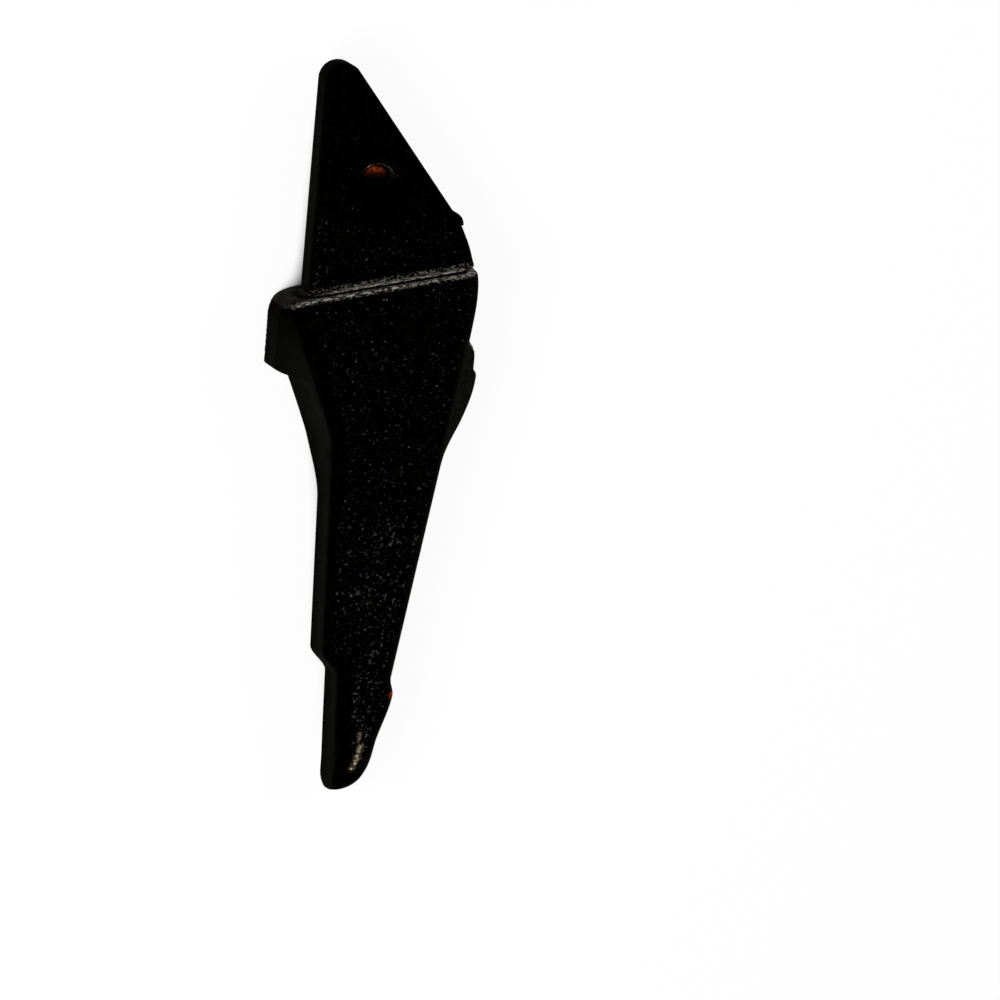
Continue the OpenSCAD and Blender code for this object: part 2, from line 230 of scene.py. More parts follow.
EAR_END, EAR_RUNOUT = 60.6, 6.8
BOSS_RIGHT = 38.6               # reach of the pin boss to the right
BOSS_START, BOSS_RISE = 48.0, 7.5
BOSS_END, BOSS_FAIRING = 60.0, 36.0
MIDDLE_HALF, MIDDLE_FADE = 7.5, 4.0         # the ear and the boss are full near the mid-plane
SLANT_FADE = 45.0               # over this depth the rings lose the slope of the ledge


def left_flank(d):
    """Reach to the left: the larger of the blade's edge, with its step, and the line of the flare."""
    step = STEP * smooth((d - STEP_START) / STEP_LENGTH)
    blade = BLADE_LEFT - LEFT_TAPER * (d - BLADE_ROOT) - step
    flare = RIM_LEFT - FLARE * (d - LEDGE - LEDGE_SLOPE * RIM_LEFT)
    return mix(-TIP_X, soft_max(blade, flare, LINE_CORNER), quarter_round(TIP - d, TIP_LEFT_ROUND))


def right_flank(d):
    """Reach to the right: a tapering line, capped at the block, plus the burr near the tip."""
    burr = BURR * smooth((d - BURR_START) / BURR_RISE) * (1 - smooth((d - BURR_TOP) / BURR_FALL))
    line = burr + soft_min(BLOCK_RIGHT, BLADE_RIGHT - RIGHT_TAPER * (d - BLADE_ROOT), LINE_CORNER)
    return mix(TIP_X, line, quarter_round(TIP - d, TIP_RIGHT_ROUND))


def front(d):
    """Height of the front face: it falls evenly from the ledge to the tip."""
    return BLOCK_HALF - FRONT_FALL * (d - LEDGE) / (TIP - LEDGE)


def back(d):
    """Height of the back face: flat under the block, then a smooth run-out to the blade."""
    return mix(-BLOCK_HALF, front(d) - BLADE_THICK, smooth((d - BLOCK_END) / RUNOUT))


def near_middle(z):
    """1 near the mid-plane, where the ear and the boss are full, and 0 towards both faces."""
    return 1 - smooth((np.abs(z) - MIDDLE_HALF) / MIDDLE_FADE)


def ear_share(d):
    """How far the ear stands out at each depth."""
    return 1 - smooth((d - EAR_END) / EAR_RUNOUT)


def boss_share(d):
    """How far the boss stands out: a steep upper end and a long fairing towards the tip."""
    return smooth((d - BOSS_START) / BOSS_RISE) * (1 - smooth((d - BOSS_END) / BOSS_FAIRING))


def slant(ring):
    """Slope of a ring: that of the ledge at the top, none further down."""
    return LEDGE_SLOPE * (1 - smooth((ring - LEDGE) / SLANT_FADE))


def depth_at(ring, x):
    """Depth of a slanted ring at each x."""
    return ring - slant(ring) * x


for d in (40.0, 80.0, 120.0, 200.0):
    print(f"depth {d:.0f}: {left_flank(d):.1f} left, {right_flank(d):.1f} right, "
          f"{front(d) - back(d):.1f} thick")

# %% [markdown]
# ## The skin of the point
# A casting like this has drafted sides, so that it leaves its mould, and well-rounded front edges.
# Each ring is therefore a rounded rectangle. It is built from four corner arcs with straight runs
# between them, and each ring has the same number of points, so the skin is a plain grid.
# Rings crowd together where the surface bends quickly: at the rim and at the bull-nosed tip.

# %% One ring as a rounded rectangle
SIDE_POINTS, FACE_POINTS = 26, 44
FRONT_ARC, BACK_ARC = 12, 8
DRAFT = 0.1
FRONT_ROUND, TIP_FRONT_ROUND = 4.6, 7.0
BACK_ROUND, RIM_BACK_ROUND = 1.6, 10.0


def rounded_rectangle(left, right_side, low, high, high_round, low_round):
    """Points of a rounded rectangle in x and z, anticlockwise from the foot of its right side."""
    def arc(x, z, r, start, steps):
        a = np.radians(start + 90 * np.linspace(0, 1, steps + 1))
        return np.stack([x + r * np.cos(a), z + r * np.sin(a)], axis=-1)

    def run(p, q, steps):
        t = np.linspace(0, 1, steps + 1)[1:-1, None]
        return mix(np.array(p, float), np.array(q, float), t)

    rf, rb = high_round, low_round
    return np.vstack([
        run((right_side, low + rb), (right_side, high - rf), SIDE_POINTS),
        arc(right_side - rf, high - rf, rf, 0, FRONT_ARC),
        run((right_side - rf, high), (rf - left, high), FACE_POINTS),
        arc(rf - left, high - rf, rf, 90, FRONT_ARC),
        run((-left, high - rf), (-left, low + rb), SIDE_POINTS),
        arc(rb - left, low + rb, rb, 180, BACK_ARC),
        run((rb - left, low), (right_side - rb, low), FACE_POINTS),
        arc(right_side - rb, low + rb, rb, 270, BACK_ARC),
    ])


print("points in a ring:", 2 * (SIDE_POINTS + FACE_POINTS + FRONT_ARC + BACK_ARC))

# %% [markdown]
# ## The rings from the rim to the tip
# A cast rim isn't sharp: it is rounded a little all round, and more at its left corner, where sand and
# soil have worn it. The tip is a bull nose. The sine and cosine of even angles place the rings closer
# together at both ends, and the ear and the boss are drawn out of the same rings.

# %% Rings of the point
RIM_ROUND, RIM_LEFT_ROUND = 1.5, 6.5
RIM_RIGHT_IN, RIM_RIGHT_LENGTH = 2.0, 14.0
NOSE_ROUND, TIP_LENGTH, TIP_END = 6.0, 14.0, 0.5
RIM_RINGS, PLAIN_RINGS, TIP_RINGS = 10, 171, 24
ROUND_FADE = 30.0               # over this depth the edge rounds change at the rim and at the tip


def ring_of_point(ring):
    """One ring: a rounded rectangle that leans out to the back, with the ear and the boss drawn out."""
    d_left = depth_at(ring, -left_flank(depth_at(ring, -left_flank(ring))))
    d_right = depth_at(ring, right_flank(ring))
    edge = ring - LEDGE
    rim_in = RIM_ROUND * (1 - quarter_round(edge, RIM_ROUND))
    left_in = RIM_LEFT_ROUND * (1 - quarter_round(edge, RIM_LEFT_ROUND))
    right_in = RIM_RIGHT_IN * (1 - quarter_round(edge, RIM_RIGHT_LENGTH))
    thin = quarter_round(TIP - ring, NOSE_ROUND)
    left, right_side = left_flank(d_left), right_flank(d_right) - right_in
    half_width, middle_x = (left + right_side) / 2, (right_side - left) / 2
    middle_z = (front(ring) + back(ring)) / 2
    half_thick = thin * (front(ring) - back(ring)) / 2 - rim_in
    room = 0.8 * min(half_thick, half_width)
    high_round = min(mix(FRONT_ROUND, TIP_FRONT_ROUND, smooth((ring - TIP) / ROUND_FADE + 1)), room)
    low_round = min(mix(RIM_BACK_ROUND, BACK_ROUND, smooth(edge / ROUND_FADE)), room)
    p = rounded_rectangle(left, right_side, middle_z - half_thick, middle_z + half_thick,
                          high_round, low_round)
    side = (p[:, 0] - middle_x) / half_width
    leant = p[:, 0] + side * DRAFT * (middle_z + half_thick - high_round - p[:, 1])
    flat = np.maximum(leant, -EAR_LEFT)
    swell = np.where(side < 0, -ear_share(d_left) * (EAR_LEFT + flat),
                     boss_share(d_right) * np.maximum(0, BOSS_RIGHT - flat))
    x = flat + near_middle(p[:, 1]) * swell - left_in * np.minimum(0, side)
    return np.stack([x, -depth_at(ring, x), p[:, 1]], axis=-1)


rim_rings = LEDGE + RIM_LEFT_ROUND * (1 - np.cos(np.linspace(0, np.pi / 2, RIM_RINGS)[:-1]))
plain_rings = np.linspace(LEDGE + RIM_LEFT_ROUND, TIP - TIP_LENGTH, PLAIN_RINGS)[:-1]
tip_rings = TIP - TIP_LENGTH + (TIP_LENGTH - TIP_END) * np.sin(np.linspace(0, np.pi / 2, TIP_RINGS))
outer_rings = np.concatenate([rim_rings, plain_rings, tip_rings])
outer = np.stack([ring_of_point(r) for r in outer_rings])
last_x, _, last_z = outer[-1].mean(axis=0)
tip_centre = (last_x, -TIP, last_z)
print("outer skin:", outer.shape, "tip at", [round(float(c), 1) for c in tip_centre])

# %% [markdown]
# ## Close the skin, then cut the socket and the pin's holes
# The top of the skin is the flat rim, and one flat face closes it. The socket, the cross bore, the
# counterbore for the pin's head, the bayonet groove and its two entry slots are cut out of the solid
# with Booleans, as a core and a drill would make them. Cutting keeps the walls exactly where they
# have to be, which a hand-made inner skin can't promise.

# %% The socket's core
NOSE_START, NOSE_END, NOSE_CHAMFER = 8.0, 88.0, 3.0
NOSE_LEFT, NOSE_RIGHT, NOSE_HALF = 25.6, 30.4, 12.0
NOSE_END_LEFT, NOSE_END_RIGHT, NOSE_END_HALF = 10.5, 21.5, 8.5
NOSE_BETWEEN = (45.0, 65.0)     # depths of the rows between the two ends of the nose
NOSE_CORNER_R, CORNER_STEPS = 1.5, 7
SOCKET_GAP = 0.35
PIN_DEPTH = 56.5


def nose_box(name, gap, top_depth):
    """The tapering nose: a rounded box whose sides run in to a chamfered end."""
    left_run = (NOSE_LEFT - NOSE_END_LEFT) / (NOSE_END - LEDGE - LEDGE_SLOPE * NOSE_LEFT)
    right_run = (NOSE_RIGHT - NOSE_END_RIGHT) / (NOSE_END - LEDGE + LEDGE_SLOPE * NOSE_RIGHT)
    half_run = (NOSE_HALF - NOSE_END_HALF) / (NOSE_END - LEDGE)
    depth = np.array([top_depth, *NOSE_BETWEEN, NOSE_END - NOSE_CHAMFER, NOSE_END])
    rise = NOSE_END - depth
    left = NOSE_END_LEFT + left_run * rise + gap
    right_side = NOSE_END_RIGHT + right_run * rise + gap
    half = NOSE_END_HALF + half_run * rise + gap
    for reach in (left, right_side, half):
        reach[-1] -= NOSE_CHAMFER
    quarter = 90 * np.linspace(0, 1, CORNER_STEPS)
    a = np.radians(np.concatenate([start + quarter for start in (0, 90, 180, 270)]))
    inward = np.repeat([[-1, -1], [1, -1], [1, 1], [-1, 1]], CORNER_STEPS, axis=0)
    rounds = NOSE_CORNER_R * (inward + np.stack([np.cos(a), np.sin(a)], axis=-1))
    rows = []
    for d, l, r, h in zip(depth, left, right_side, half):
        corners = np.repeat([[r, h], [-l, h], [-l, -h], [r, -h]], CORNER_STEPS, axis=0)
        x, z = (corners + rounds).T
        rows.append(np.stack([x, np.full_like(x, -d), z], axis=-1))
    piece = skin(name, np.array(rows), start="flat", end="flat")
    outward(piece)
    return piece


tooth = skin("tooth_point_casting", outer, start="flat", end=tip_centre)
outward(tooth)
socket = nose_box("socket_core", SOCKET_GAP, NOSE_START)
print("skin faces:", len(tooth.data.polygons))

# %% [markdown]
# ## Holes for the pin
# The pin goes in from the right. Its two lugs pass the entry slots, and a quarter turn takes them
# round the bayonet groove, where they can't come out. The groove and the slots are slices of a disc
# round the pin's axis, two of each, half a turn apart.

# %% The pin's holes
PIN_R, HEAD_R = 5.55, 6.85
BLIND_X, MOUTH_X = -32.0, 28.45
GROOVE_R, GROOVE_LOW, GROOVE_HIGH = 9.1, 29.65, 33.15
GROOVE_START, GROOVE_STOP = 58, 212         # degrees from the middle of a slot
SLOT_HALF, SLOT_LOW = 32, 29.8
OUTSIDE = 50.0                  # where every tool ends, clear of the casting


def sector(name, radius, low_x, high_x, start, end, steps=24):
    """A slice of a disc round the pin's axis between two angles: its centre, then points on an arc."""
    a = np.radians(np.linspace(start, end, steps))
    arc = np.stack([0 * a, -PIN_DEPTH + radius * np.sin(a), -radius * np.cos(a)], axis=-1)
    loop = np.vstack([[(0.0, -PIN_DEPTH, 0.0)], arc])
    piece = skin(name, np.stack([loop + [low_x, 0, 0], loop + [high_x, 0, 0]]), "flat", "flat")
    outward(piece)
    return piece


tools = [socket,
         cylinder("bore_tool", PIN_R, BLIND_X, OUTSIDE, -PIN_DEPTH),
         cylinder("mouth_tool", HEAD_R, MOUTH_X, OUTSIDE, -PIN_DEPTH)]
for side in (0, 180):
    tools.append(sector(f"groove_tool_{side}", GROOVE_R, GROOVE_LOW, GROOVE_HIGH,
                        side + GROOVE_START, side + GROOVE_STOP))
    tools.append(sector(f"slot_tool_{side}", GROOVE_R, SLOT_LOW, OUTSIDE,
                        side - SLOT_HALF, side + SLOT_HALF))
carve(tooth, *tools)
print("casting after its cuts:", len(tooth.data.polygons), "faces")

# %% [markdown]
# ## The adapter
# The adapter is a second casting. Its plate is the lug, a triangle with a round top, and its nose
# fills the socket. The plate is a closed plan whose edges are rounded by carrying a quarter circle
# along the whole outline; the round fades out at the foot, where the plate meets the nose.

# %% The lug's outline
LUG_HALF, LUG_LEFT, LUG_TOP_R, LUG_REACH = 6.0, 26.3, 7.0, 50.0
LUG_LEAN = 38.5                 # degrees: the way the leaning right side faces
SHOULDER_R, SHOULDER_RIGHT, SHOULDER_Y, FOOT_ANGLE = 44.0, 35.8, -31.0, 11.5
NUB_Y, NUB_R, NUB_HEIGHT, NUB_SHIFT = -6.0, 4.6, 1.2, 1.8
FILLET_R, SEAT_GAP = 3.0, 0.2
FOOT_CLEAR, TOE = 0.3, 0.6      # the arc stops above the foot, and the fillet ends in a short toe
PLAN_STEP = 0.8                 # spacing of the outline's points


def ledge_height(x):
    """Height of the ledge at each x: a line that rises to the right."""
    return LEDGE_SLOPE * x - LEDGE


def arc_points(centre, radius, start, end, steps):
    """Points on an arc: centre plus radius times cosine and sine."""
    a = np.radians(np.linspace(start, end, steps))
    return np.stack([centre[0] + radius * np.cos(a), centre[1] + radius * np.sin(a)], axis=-1)


top = np.array([LUG_TOP_R - LUG_LEFT, LUG_REACH - LUG_TOP_R])
lean = np.array([math.cos(math.radians(LUG_LEAN)), math.sin(math.radians(LUG_LEAN))])
lean_foot_x = (top @ lean + LUG_TOP_R - NUB_Y * lean[1]) / lean[0]
shoulder = np.array([SHOULDER_RIGHT - SHOULDER_R, SHOULDER_Y])
nub_angle = math.degrees(math.asin((NUB_Y - SHOULDER_Y) / SHOULDER_R))
fillet = np.array([-LUG_LEFT - FILLET_R, 0.0])
fillet[1] = ledge_height(fillet[0]) + SEAT_GAP + FILLET_R / math.cos(math.atan(LEDGE_SLOPE))
right_foot = arc_points(shoulder, SHOULDER_R, nub_angle, FOOT_ANGLE, 30)
right_foot = right_foot[right_foot[:, 1] > ledge_height(right_foot[:, 0]) + SEAT_GAP + FOOT_CLEAR]
foot_x, toe_x = right_foot[-1, 0], fillet[0] - TOE
up_the_lean = np.array([-lean[1], lean[0]])
nub = np.array([lean_foot_x, NUB_Y]) + NUB_SHIFT * up_the_lean - (NUB_R - NUB_HEIGHT) * lean
nub_spread = math.degrees(math.acos(1 - NUB_HEIGHT / NUB_R))
corners = np.vstack([
    arc_points(top, LUG_TOP_R, 180, LUG_LEAN, 40),
    arc_points(nub, NUB_R, LUG_LEAN + nub_spread, LUG_LEAN - nub_spread, 14),
    right_foot[2:],
    [(foot_x, ledge_height(foot_x) + SEAT_GAP)],
    [(toe_x, ledge_height(toe_x) + SEAT_GAP)],
    arc_points(fillet, FILLET_R, -95, 0, 14),
])


def resample(loop, spacing):
    """A closed polyline again, with points at equal steps along each of its edges."""
    after = np.roll(loop, -1, axis=0)
    lengths = np.linalg.norm(after - loop, axis=1)
    parts = [mix(p, q, np.linspace(0, 1, max(1, round(s / spacing)) + 1)[:-1, None])
             for p, q, s in zip(loop, after, lengths)]
    return np.vstack(parts)


plan = resample(corners, PLAN_STEP)[::-1]
print("lug outline:", len(plan), "points, foot of the lean at x =", round(float(lean_foot_x), 2))

# %% [markdown]
# ## The plate of the lug
# The plan is carried up through the plate's thickness, and each row is drawn in a little, so that the
# two edges come out round. The left edge is rounded more. The round fades to almost nothing at the
# foot and beside the nub, so that the plate meets the nose and the ledge without a gap.

# %% The lug's plate
EDGE_ROUND, LEFT_EDGE_ROUND, BACK_EDGE_ROUND, SHARP = 1.3, 2.2, 0.8, 0.08


def plate(name, loop, half, edge):
    """A flat plate with rounded edges: an inset that follows 1 - cos and a height that follows sin."""
    before, after = np.roll(loop, 1, axis=0), np.roll(loop, -1, axis=0)
    along = (after - before) / np.linalg.norm(after - before, axis=1, keepdims=True)
    normal = np.stack([along[:, 1], -along[:, 0]], axis=-1)
    foot = loop[:, 1] - ledge_height(loop[:, 0]) - SEAT_GAP
    from_nub = np.hypot(loop[:, 0] - lean_foot_x, loop[:, 1] - NUB_Y)
    edge = mix(edge, LEFT_EDGE_ROUND, smooth((-normal[:, 0] - 0.5) / 0.4))
    off_joints = smooth((foot - 0.4) / 3.0) * smooth((from_nub - 1.2) / 4.0)
    radius = mix(SHARP, edge, off_joints)[:, None]
    steps = np.radians(np.linspace(0, 90, 7))
    low = np.minimum(radius, BACK_EDGE_ROUND)
    rows = [np.hstack([loop - normal * low * (1 - np.cos(s)), -half + low * (1 - np.sin(s))])
            for s in steps[::-1]]
    rows += [np.hstack([loop - normal * radius * (1 - np.cos(s)), half - radius * (1 - np.sin(s))])
             for s in steps]
    piece = skin(name, np.array(rows), start="flat", end="flat")
    outward(piece)
    return piece


adapter = plate("adapter_casting", plan, LUG_HALF, EDGE_ROUND)
print("plate from", plan.min(axis=0).round(1), "to", plan.max(axis=0).round(1))

# %% [markdown]
# ## The nose, the bore and the worn pocket
# The lug's bore is drilled and chamfered at both mouths. Beside it is a round worn pocket, deeper than
# the chamfer, with a soft foot and a flared mouth. Both are turned shapes, so each is a short profile
# of radius and height. The nose is the socket's core again, without the gap.

# %% The nose, the bores and the worn pocket
SHOULDER_RISE = 0.8             # the nose's shoulder stands this far above the rim
LUG_BORE_R, BORE_CHAMFER = 8.25, 0.9
CLEAR_Z = LUG_HALF + 1.0        # where the tools end, clear of the plate
WEAR_SHIFT, WEAR_R, WEAR_DEPTH = 8.6, 6.2, 3.5
WEAR_TURN = math.radians(28)    # the pocket is off the bore's centre line by this angle


def revolved(name, x, y, profile, sides=96):
    """A closed turned shape round an axis along Z. Its profile is a list of radius and height."""
    a = np.linspace(0, 2 * np.pi, sides, endpoint=False)
    rows = np.array([np.stack([x + r * np.cos(a), y + r * np.sin(a), np.full(sides, z)], axis=-1)
                     for r, z in profile])
    piece = skin(name, rows, start="flat", end="flat")
    outward(piece)
    return piece


def ledge_box(name, low_x, high_x, low, high, half):
    """A box that follows the ledge: its foot and its top are low and high above the ledge's line."""
    loop = np.array([[low_x, ledge_height(low_x) + low], [high_x, ledge_height(high_x) + low],
                     [high_x, ledge_height(high_x) + high], [low_x, ledge_height(low_x) + high]])
    rows = np.stack([np.hstack([loop, np.full((4, 1), z)]) for z in (-half, half)])
    piece = skin(name, rows, start="flat", end="flat")
    outward(piece)
    return piece


pocket_x, pocket_y = -WEAR_SHIFT * math.sin(WEAR_TURN), WEAR_SHIFT * math.cos(WEAR_TURN)
pocket_floor = LUG_HALF - WEAR_DEPTH
mouth = [(LUG_BORE_R + BORE_CHAMFER, CLEAR_Z), (LUG_BORE_R + BORE_CHAMFER, LUG_HALF),
         (LUG_BORE_R, LUG_HALF - BORE_CHAMFER)]
foot = [(WEAR_R - 1.6, pocket_floor), (WEAR_R - 0.8, pocket_floor + 0.2),
        (WEAR_R - 0.2, pocket_floor + 0.9), (WEAR_R, pocket_floor + 1.8)]
flare = [(WEAR_R + 0.3, LUG_HALF - 0.4), (WEAR_R + 0.9, LUG_HALF + 0.1), (WEAR_R + 1.4, CLEAR_Z)]
carve(adapter,
      revolved("bore_tool", 0, 0, [(r, -z) for r, z in mouth] + mouth[::-1]),
      revolved("pocket_tool", pocket_x, pocket_y, foot + flare))
nose = nose_box("nose_core", 0.0, NOSE_START)
carve(nose,
      ledge_box("above_the_shoulder", -80, 80, SHOULDER_RISE, 60, 40),
      cylinder("cross_bore_tool", PIN_R, -60.0, 60.0, -PIN_DEPTH))
print(f"pocket at {pocket_x:.1f}, {pocket_y:.1f}, nose faces: {len(nose.data.polygons)}")

# %% [markdown]
# ## One casting of two shells
# The lug and the nose are one casting, so their two closed shells go into one mesh. The lug's foot
# stands inside the nose's shoulder, and no edge of the joint shows.

# %% Join the lug and the nose
def join(thing, other):
    """Adds the other piece's mesh to the first piece's, and drops the other piece."""
    net = bmesh.new()
    net.from_mesh(thing.data)
    net.from_mesh(other.data)
    net.to_mesh(thing.data)
    net.free()
    bpy.data.objects.remove(other)


join(adapter, nose)
print("adapter after its cuts:", len(adapter.data.polygons), "faces")

# %% [markdown]
# ## The plug in the pin's mouth
# A small rubber plug keeps dirt out of the pin's hexagon. It is a turned disc with two ears, so it is
# drawn as a plan whose radius is a function of the angle, carried up a profile with a rounded rim.

# %% The plug
PLUG_FACE, PLUG_R, PLUG_EAR_R = 38.2, 6.7, 8.95
PLUG_UNDER = 34.65              # x of the disc's underside
STEM_R, STEM_END = 3.3, 29.65
EAR_HALF, EAR_SIDE = 28.6, 1.4  # degrees from a pole to the ear's side, and over its side
RIM_R, RIM_LOW = 0.7, 1.7       # the disc's rounded rim, and its start below the face


def plug_radius(angle):
    """Radius at each angle: the disc, stepping up to the ears within 30 degrees of the two poles."""
    off_axis = np.abs(np.degrees(np.arctan2(np.sin(angle * 2), np.cos(angle * 2)))) / 2
    return mix(PLUG_EAR_R, PLUG_R, smooth((off_axis - EAR_HALF) / EAR_SIDE))


def plug_rows():
    """Rows of the plug from its stem to its face: each row is the plan at one inset and one height."""
    a = np.linspace(0, 2 * np.pi, 240, endpoint=False)
    full, stem = plug_radius(a), np.full_like(a, STEM_R)
    disc = np.minimum(full, PLUG_R)
    low = [(stem - 0.5, STEM_END), (stem - 0.1, STEM_END + 0.15), (stem, STEM_END + 0.45),
           (stem, PLUG_UNDER), (np.minimum(full, PLUG_R - 0.3), PLUG_UNDER + 0.01),
           (disc, PLUG_UNDER + 0.25)]
    rim = [(full - RIM_R * (1 - math.cos(s)), PLUG_FACE - RIM_LOW + RIM_R * math.sin(s))
           for s in np.radians(np.linspace(0, 90, 6))]
    crown = [(full - 1.15, PLUG_FACE - 0.95), (disc - 1.3, PLUG_FACE - 0.9),
             (0 * a + PLUG_R - 1.6, PLUG_FACE - 0.15), (0 * a + PLUG_R - 2.1, PLUG_FACE),
             (0 * a + 2.0, PLUG_FACE), (0 * a + 1.5, PLUG_FACE - 0.5)]
    return a, low + rim + crown


angles, profile = plug_rows()
rows = np.array([np.stack([np.full_like(angles, x), -PIN_DEPTH + r * np.sin(angles),
                           -r * np.cos(angles)], axis=-1) for r, x in profile])
plug = skin("socket_plug_rubber", rows, start="flat", end=(PLUG_FACE - 0.5, -PIN_DEPTH, 0.0))
outward(plug)
print("plug faces:", len(plug.data.polygons))

# %% [markdown]
# ## Marks: where the finish changes
# Paint on a used casting isn't the same everywhere. The sand-blasted fronts keep their grains,
# brightened as painted glints, the sides get a grey painted sheen, the rounded edges stay black, the
# tip gets a painted highlight in three bright streaks, and rust starts where water stands. Each of
# these is a mark, a number from 0 to 1 at every point of the mesh, worked out from the point's place
# and the way its surface faces. The materials read the marks.

# %% Put marks on a mesh
def places(thing):
    """Positions in millimetres and smooth normals of a mesh's points."""
    mesh = thing.data
    p = np.empty(len(mesh.vertices) * 3, np.float32)
    n = np.empty_like(p)
    mesh.vertices.foreach_get("co", p)
    mesh.vertices.foreach_get("normal", n)
    return p.reshape(-1, 3) / MM, n.reshape(-1, 3)


def put_mark(thing, name, values):
    """Stores one number per point under a name."""
    thing.data.attributes.new(name, "FLOAT", "POINT").data.foreach_set(
        "value", np.clip(values, 0, 1).astype(np.float32))


def blob(p, centre, radii):
    """A soft patch: e to the power of minus the squared distance, measured in radii."""
    away = (p - np.array(centre)) / np.array(radii)
    return np.exp(-(away ** 2).sum(axis=1))


def streak(p, start, end, width):
    """A soft line between two points: e to the power of minus the squared distance in widths."""
    a, b = np.array(start, float), np.array(end, float)
    along = np.clip((p - a) @ (b - a) / ((b - a) @ (b - a)), 0, 1)[:, None]
    away = np.linalg.norm(p - (a + along * (b - a)), axis=1) / width
    return np.exp(-away ** 2)


def facing_front(n):
    """1 where the surface faces the front, fading out where it bends away."""
    return smooth((n[:, 2] - 0.86) / 0.12)


print("mark helpers ready")

# %% [markdown]
# ## Marks on the point
# Sand grains show on the front, inside a margin that stays black along the rounded edges, and they
# grow denser down the blade; their brightness is painted glints. The sides get a grey painted sheen
# that fades from the front edge, with painted shade on the ear and under the ledge. Three bright
# streaks near the tip are a painted highlight, and one spot on the right edge is rusty.

# %% Marks on the point
MARGIN_DEPTHS = [30, 100, 118, 160, 170, 217]
MARGINS = [4.8, 4.8, 2.6, 2.6, 4.6, 5.0]    # width of the black margin at each depth
GRAIN_DEPTHS = [30, 60, 95, 110, 128, 160, 185, 200, 217]
GRAIN_SHARES = [0.30, 0.34, 0.42, 0.50, 0.80, 0.90, 0.9, 0.8, 0.2]
SPARSE_PATCH, SPARSE_PATCH_SIZE = (-2.5, -166.0, 9.5), (5.0, 9.0, 6.0)      # a patch where the grains are fewer
RUST_SPOT, RUST_SIZE = (17.0, -180.2, 8.0), (0.9, 1.0, 3.0)
# Each streak of the painted highlight has its brightness, its two ends and its width.
TIP_HIGHLIGHT_STREAKS = [(0.3, (6.2, -194.4, 8.6), (6.1, -197.0, 8.4), 0.6),
             (0.4, (7.0, -199.5, 8.0), (5.9, -204.0, 7.7), 0.8),
             (1.0, (5.4, -205.6, 7.6), (4.4, -208.0, 7.2), 0.6)]

p, n = places(tooth)
depth = -p[:, 1]
from_left = p[:, 0] + left_flank(depth)
from_right = right_flank(depth) - p[:, 0]
margin = np.interp(depth, MARGIN_DEPTHS, MARGINS)
# Grains of the cast skin, brightened as painted glints, only on faces that look to the front.
glint_field = facing_front(n) * smooth((from_left - margin) / 2.2) * smooth((from_right - 0.4) / 1.6)
sparse_patch = 1 - 0.8 * blob(p, SPARSE_PATCH, SPARSE_PATCH_SIZE)
put_mark(tooth, "grain", glint_field * np.interp(depth, GRAIN_DEPTHS, GRAIN_SHARES) * sparse_patch)

# The side mark is a painted sheen: grey next to the front edge, darker towards the back.
to_front = front(depth) - p[:, 2]
through = np.clip(to_front / (front(depth) - back(depth)), 0, 1)
# Painted shade on the ear, strongest near the mid-plane.
ear_painted_shade = 1 - 0.35 * ear_share(depth) * near_middle(p[:, 2])
left_sheen = smooth((to_front - 1.9) / 1.7) * mix(1.0, 0.3, smooth((through - 0.2) / 0.7)) * ear_painted_shade
# Painted shade at the top of the left flank, under the ledge.
left_sheen *= mix(0.05, 1.0, smooth((depth - LEDGE - LEDGE_SLOPE * RIM_LEFT - 2.0) / 17.0))
# Painted sheen on the right side, weaker near the top.
right_side = smooth((to_front - 0.1) / 2.6) * mix(0.4, 1.0, smooth((depth - 35.0) / 20.0))
put_mark(tooth, "side", np.where(from_left < from_right, 0.5 * left_sheen, right_side))
# The bare mark on the point is a painted highlight on the bull-nosed tip, brightest at the bottom.
put_mark(tooth, "bare", sum(share * streak(p, *line) for share, *line in TIP_HIGHLIGHT_STREAKS))
put_mark(tooth, "rust", 1.1 * blob(p, RUST_SPOT, RUST_SIZE))
print("grain covers", round(float((glint_field > 0.5).mean()), 2), "of the points")

# %% [markdown]
# ## Marks on the adapter
# The lug is darker than the point: few painted glints show on its grains near its top and more towards
# the ledge. Its left side gets a grey painted sheen near the front edge. Rust sits in one wedge of the
# worn pocket, where water stands, and the pocket's rim gets a painted highlight in places.

# %% Marks on the adapter and the faces of the ledge
p, n = places(adapter)
x, y, z = p.T
# Painted glints on the lug's grains, fewer near its top than by the ledge.
glint_share = np.interp(-y, [-50, -20, 0, 15, 30], [0.05, 0.1, 0.18, 0.4, 0.5])
put_mark(adapter, "grain", facing_front(n) * glint_share)

# The side mark on the lug is a painted sheen: grey near the front edge, fading to the back and the top.
on_lug = smooth((LUG_HALF + 0.2 - np.abs(z)) / 0.1)
across = smooth((LUG_HALF - 0.3 - z) / 2.2) * mix(1.0, 0.15, smooth((2.5 - z) / 7.0))
sheen_by_height = np.interp(y, [-30, 5, 20, 38, 50], [0.9, 1.0, 0.9, 0.45, 0.15])
put_mark(adapter, "side", 0.4 * smooth((-n[:, 0] - 0.5) / 0.3) * on_lug * across * sheen_by_height)

in_pocket = smooth((LUG_HALF - 0.1 - z) / 0.4) * smooth((z - 1.2) / 0.6)
wedge = blob(p * [1, 1, 0], (pocket_x - 0.4, pocket_y + 3.2, 0), (3.4, 1.9, 1.0))
put_mark(adapter, "rust", in_pocket * smooth((wedge - 0.2) / 0.5))

# The bare mark on the adapter is a painted highlight: a faint arc on the pocket's rim and one bright
# speck.
from_centre = np.hypot(x - pocket_x, y - pocket_y)
on_rim = smooth((from_centre - WEAR_R + 0.3) / 0.3) * smooth((WEAR_R + 1.2 - from_centre) / 0.4)
rim_highlight_speck = 2 * blob(p, (pocket_x - 4.0, pocket_y + 4.6, 5.3), (1.0, 1.0, 1.0))
on_flare = (z > 4.6) * (z < LUG_HALF - 0.02)
upper_half = smooth((y - pocket_y - 2.0) / 2.0)
put_mark(adapter, "bare", (0.07 * on_rim + rim_highlight_speck) * on_flare * upper_half)
